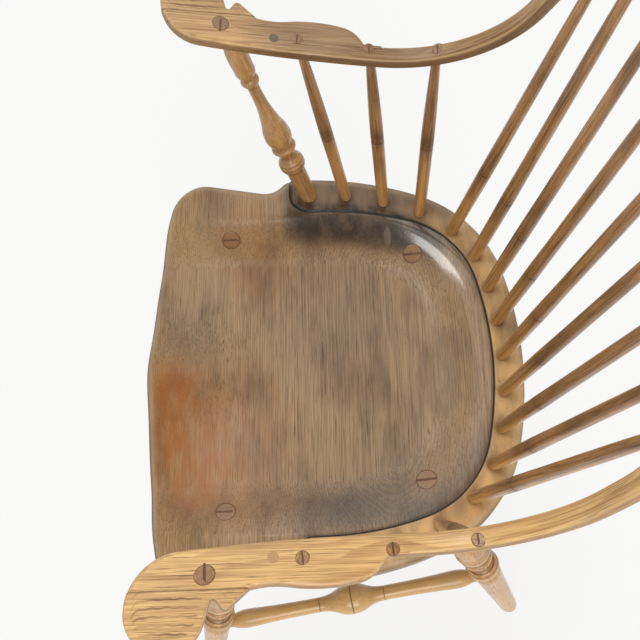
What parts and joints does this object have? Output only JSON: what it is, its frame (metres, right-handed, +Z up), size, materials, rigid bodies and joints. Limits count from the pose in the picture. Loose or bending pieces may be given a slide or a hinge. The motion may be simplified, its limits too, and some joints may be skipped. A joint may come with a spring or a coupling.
{
  "type": "continuous-arm windsor chair",
  "caption": "Wooden armchair whose bent rail makes both arms and the back, with slim spindles, carved seat, splayed turned legs and stretchers.",
  "frame": {"origin": "on the floor under the middle of the chair's box", "axes": "+Z up; +Y towards the back of the chair; +X to the sitter's left"},
  "size_m": [0.6306, 0.5416, 0.932],
  "materials": {
    "seat_wood": "dark brown, gloss varnish",
    "bow_wood": "golden open grain, varnish",
    "turned_wood": "golden brown, gloss varnish",
    "spindle_wood": "mid brown, varnish",
    "wedge_wood": "dark end grain, varnish",
    "plug_wood": "dark filler, varnish"
  },
  "bodies": {
    "root": {"seat": "seat_wood", "arm_bow": "bow_wood", "left_hand_block": "bow_wood", "right_hand_block": "bow_wood", "left_arm_post": "turned_wood", "right_arm_post": "turned_wood", "left_arm_spindle_1": "spindle_wood", "left_arm_spindle_2": "spindle_wood", "left_arm_spindle_3": "spindle_wood", "right_arm_spindle_1": "spindle_wood", "right_arm_spindle_2": "spindle_wood", "right_arm_spindle_3": "spindle_wood", "back_spindle_1": "spindle_wood", "back_spindle_2": "spindle_wood", "back_spindle_3": "spindle_wood", "back_spindle_4": "spindle_wood", "back_spindle_5": "spindle_wood", "back_spindle_6": "spindle_wood", "back_spindle_7": "spindle_wood", "back_spindle_8": "spindle_wood", "back_spindle_9": "spindle_wood", "front_left_leg": "turned_wood", "front_right_leg": "turned_wood", "rear_left_leg": "turned_wood", "rear_right_leg": "turned_wood", "left_side_stretcher": "turned_wood", "right_side_stretcher": "turned_wood", "centre_stretcher": "turned_wood", "leg_wedges": "wedge_wood", "arm_post_wedges": "wedge_wood", "arm_spindle_wedges": "wedge_wood", "back_spindle_wedges": "wedge_wood", "arm_plugs": "plug_wood"}
  },
  "joints": []
}
